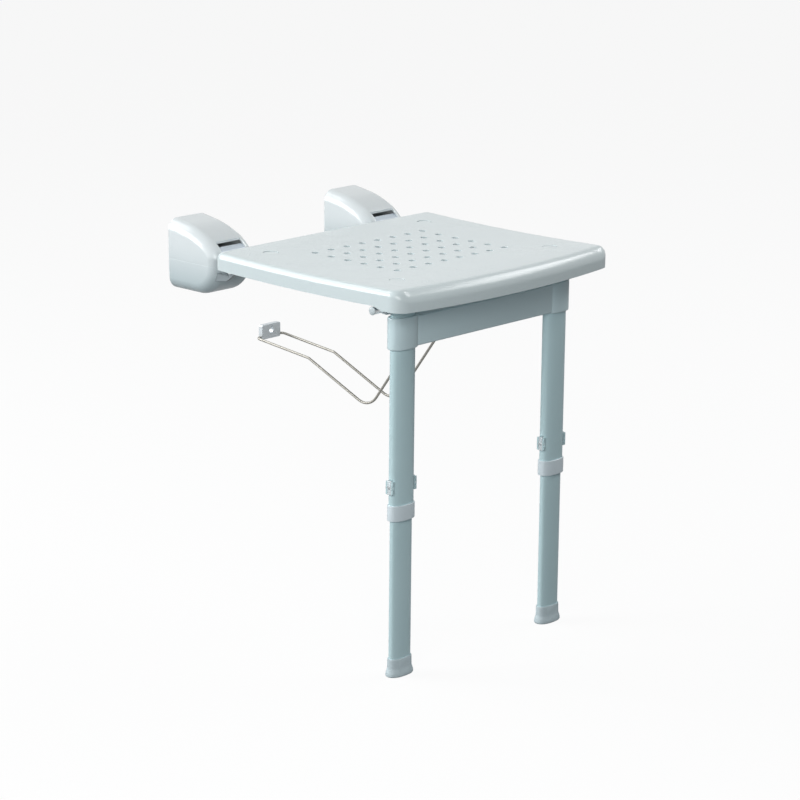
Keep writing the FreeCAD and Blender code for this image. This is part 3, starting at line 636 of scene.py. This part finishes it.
# Wire link: one length of bright spring wire bent on a jig, from the wall plate down and up to
# the hook behind the crossbar. Each corner has its way out from the wall, its depth below the
# origin and its bend radius.
wire_bright = plated_steel("wire_bright", (0.36, 0.35, 0.32, 1), (0.31, 0.30, 0.275, 1), 0.42,
                           fineness=90.0, depth=0.04)


def bent_wire(points, wire):
    """Rounds every corner of the run by its own bend radius and sweeps the wire along it."""
    run = points.node("GeometryNodeMeshToCurve", None, {"Mesh": points})
    bend = points.node("GeometryNodeInputNamedAttribute", {"data_type": "FLOAT"},
                       {"Name": "bend"})
    run = run.node("GeometryNodeFilletCurve", {"mode": "POLY"},
                   {"Curve": run, "Count": 14, "Radius": bend})
    section = points.node("GeometryNodeCurvePrimitiveCircle", None,
                          {"Resolution": 24, "Radius": wire})
    return run.node("GeometryNodeCurveToMesh", None,
                    {"Curve": run, "Profile Curve": section, "Fill Caps": True})


half_span = 0.025
half_end_gap = 0.0005
corners = [(0.0035, 0.1431, 0.006), (0.1065, 0.1536, 0.015), (0.223, 0.2038, 0.028),
           (0.3005, 0.0985, 0.015), (0.388, 0.049, 0.006)]
strand = [(half_span, -out, -down, bend) for out, down, bend in corners]
other = [(-x, y, z, bend) for x, y, z, bend in reversed(strand)]
ends = [(side * half_end_gap, strand[0][1], strand[0][2], 0.0) for side in (1, -1)]
run = [ends[0]] + strand + other + [ends[1]]
run_mesh = point_mesh("wire_run", [point[:3] for point in run],
                      [(i, i + 1) for i in range(len(run) - 1)])
bends = run_mesh.attributes.new("bend", "FLOAT", "POINT")
for item, point in zip(bends.data, run):
    item.value = point[3]
wire = grow("bent_wire", run_mesh, bent_wire, wire_bright, "link", wire=0.0018)
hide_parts("wire_link")


# The stage: a pale floor that keeps the shadow, a white room, a softbox behind and above, one
# at the left, one at the front left and a strip at the front right.
def shows_white(tree, in_gloss=1.0):
    """1 for camera rays, and in_gloss for those off a glossy or through a clear surface."""
    rays = tree.nodes.new("ShaderNodeLightPath")
    bounced = Maths(tree, rays.outputs["Is Transmission Ray"]) \
        + Maths(tree, rays.outputs["Is Glossy Ray"])
    seen = Maths(tree, rays.outputs["Is Camera Ray"]) + in_gloss * bounced
    return seen.node("ShaderNodeClamp", None, {"Value": seen})


def stage_floor():
    reach = 12.0
    under_the_feet = 0.0003
    own_glow = 0.92
    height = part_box("foot_left")[0].z - under_the_feet
    mesh = bpy.data.meshes.new("floor")
    mesh.from_pydata([(-reach, -reach, height), (reach, -reach, height),
                      (reach, reach, height), (-reach, reach, height)], [], [(0, 1, 2, 3)])
    floor = bpy.data.objects.new("floor", mesh)
    bpy.context.scene.collection.objects.link(floor)
    finish, shader = new_finish("pale_floor")[:2]
    tree = finish.node_tree
    seen = shows_white(tree, in_gloss=0.4)
    feed(shader, Base_Color=blend(seen, (0.08, 0.10, 0.11, 1), (0.95, 0.955, 0.96, 1)),
         Roughness=0.9)
    glow = tree.nodes.new("ShaderNodeEmission")
    both = tree.nodes.new("ShaderNodeMixShader")
    tree.links.new((seen * own_glow).socket, both.inputs[0])
    tree.links.new(shader.outputs[0], both.inputs[1])
    tree.links.new(glow.outputs[0], both.inputs[2])
    tree.links.new(both.outputs[0], tree.nodes["Material Output"].inputs["Surface"])
    mesh.materials.append(finish)


def white_room():
    fill = 0.04
    fill_colour = (0.65, 0.93, 1.0, 1)
    world = bpy.data.worlds.new("white_room")
    bpy.context.scene.world = world
    world.use_nodes = True
    tree = world.node_tree
    seen = shows_white(tree)
    background = tree.nodes["Background"]
    tree.links.new(blend(seen, fill_colour, (1, 1, 1, 1)).socket, background.inputs["Color"])
    tree.links.new((fill + seen * (1 - fill)).socket, background.inputs["Strength"])


def softbox(name, place, aim, width, height, power):
    lamp = bpy.data.lights.new(name, "AREA")
    lamp.shape = "RECTANGLE"
    lamp.size = width
    lamp.size_y = height
    lamp.energy = power
    holder = bpy.data.objects.new(name, lamp)
    bpy.context.scene.collection.objects.link(holder)
    holder.location = place
    holder.rotation_mode = "QUATERNION"
    holder.rotation_quaternion = (Vector(aim) - Vector(place)).to_track_quat("-Z", "Y")


stage_floor()
white_room()
softbox("rear_softbox", (-0.85, 1.9, 2.25), (0, -0.25, 0), 1.6, 1.6, 25)
softbox("left_softbox", (-2.0, 1.65, 0.9), (0, -0.25, -0.15), 1.4, 1.4, 55)
softbox("front_softbox", (-2.0, -1.7, 0.8), (0, -0.3, -0.1), 1.4, 1.2, 32)
softbox("nose_strip", (2.2, -1.1, 1.95), (0, -0.45, 0), 2.2, 1.0, 37)

camera_data = bpy.data.cameras.new("camera")
camera_data.sensor_width = 36.0
camera_data.lens = 129.58
camera_data.clip_end = 60
camera = bpy.data.objects.new("camera", camera_data)
bpy.context.scene.collection.objects.link(camera)
camera_place = (-2.7666, -2.8433, 0.8127)
turn, lift, roll = math.radians(-46.93), math.radians(14.83), math.radians(0.595)
back = Vector((math.sin(turn) * math.cos(lift), -math.cos(turn) * math.cos(lift),
               math.sin(lift)))
across = Vector((math.cos(turn), math.sin(turn), 0))
upward = across.cross(-back)
right = across * math.cos(roll) + upward * math.sin(roll)
up = upward * math.cos(roll) - across * math.sin(roll)
rotation = Matrix((right, up, back)).transposed().to_4x4()
camera.matrix_world = Matrix.Translation(camera_place) @ rotation
bpy.context.scene.camera = camera
bpy.context.scene.view_settings.view_transform = "Standard"
